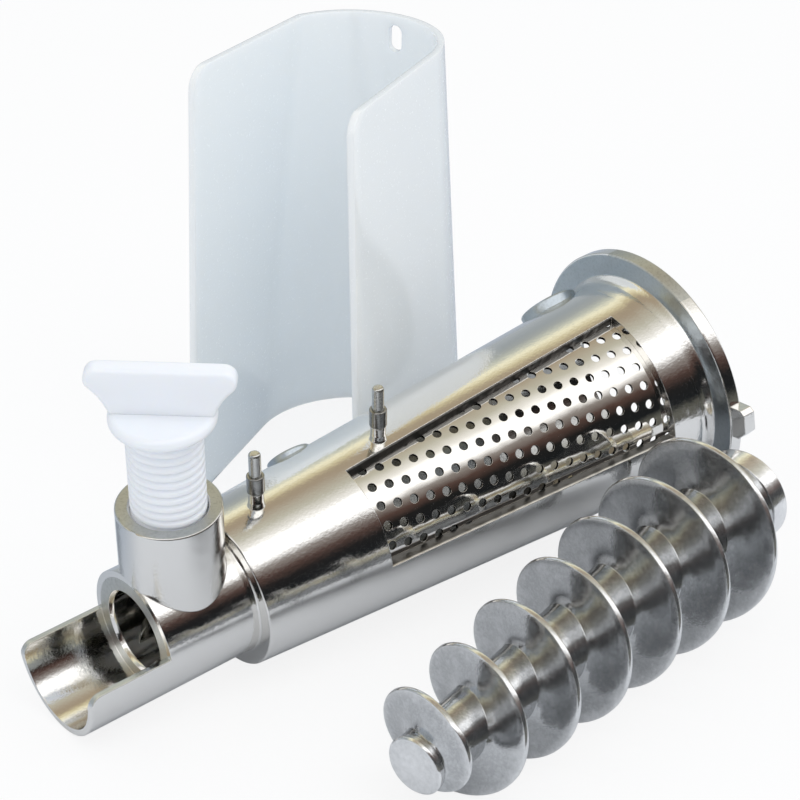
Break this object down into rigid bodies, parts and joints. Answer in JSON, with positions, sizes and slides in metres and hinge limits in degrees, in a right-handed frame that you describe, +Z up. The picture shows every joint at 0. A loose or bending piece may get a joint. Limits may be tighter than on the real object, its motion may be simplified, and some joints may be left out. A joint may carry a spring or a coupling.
{
  "type": "meat grinder juicer attachment",
  "caption": "Screw juicer attachment for a hand meat grinder: plated conical barrel with strainer window and adjusting screw, tapered auger and hanging splash cover, laid out.",
  "frame": {"origin": "centre of the laid-out set's bounding box, on the floor", "axes": "+Z up from the floor, +X along the barrel from its spout to its flange, +Y from the auger towards the splash cover"},
  "size_m": [0.1761, 0.1794, 0.11],
  "materials": {
    "plated_casting": "nickel plated casting, polished",
    "polished_sheet": "polished perforated sheet",
    "pin_steel": "turned",
    "collar_steel": "turned, dull",
    "screw_plastic": "moulded, satin",
    "auger_casting": "tinned casting, semi-bright",
    "cover_plastic": "moulded, glossy"
  },
  "bodies": {
    "barrel": {"barrel_body": "plated_casting", "strainer_screen": "polished_sheet", "front_cover_pin": "pin_steel", "rear_cover_pin": "pin_steel", "front_pin_collar": "collar_steel", "rear_pin_collar": "collar_steel"},
    "adjusting_screw": {"adjusting_screw": "screw_plastic"},
    "auger": {"auger": "auger_casting"},
    "cover": {"splash_cover": "cover_plastic"}
  },
  "joints": [
    {"name": "screw_travel", "type": "slide", "parent": "barrel", "child": "adjusting_screw", "axis": [-0.108, -0.1357, 0.9848], "range_m": [-0.022, 0.02]},
    {"name": "auger_turn", "type": "hinge", "parent": "barrel", "child": "auger", "pos_m": [-0.0473, -0.0782, 0.01437], "axis": [0.9709, 0.2295, 0.0678], "continuous": true},
    {"name": "cover_lift", "type": "slide", "parent": "barrel", "child": "cover", "axis": [0, 0, 1], "range_m": [0, 0.12]}
  ]
}
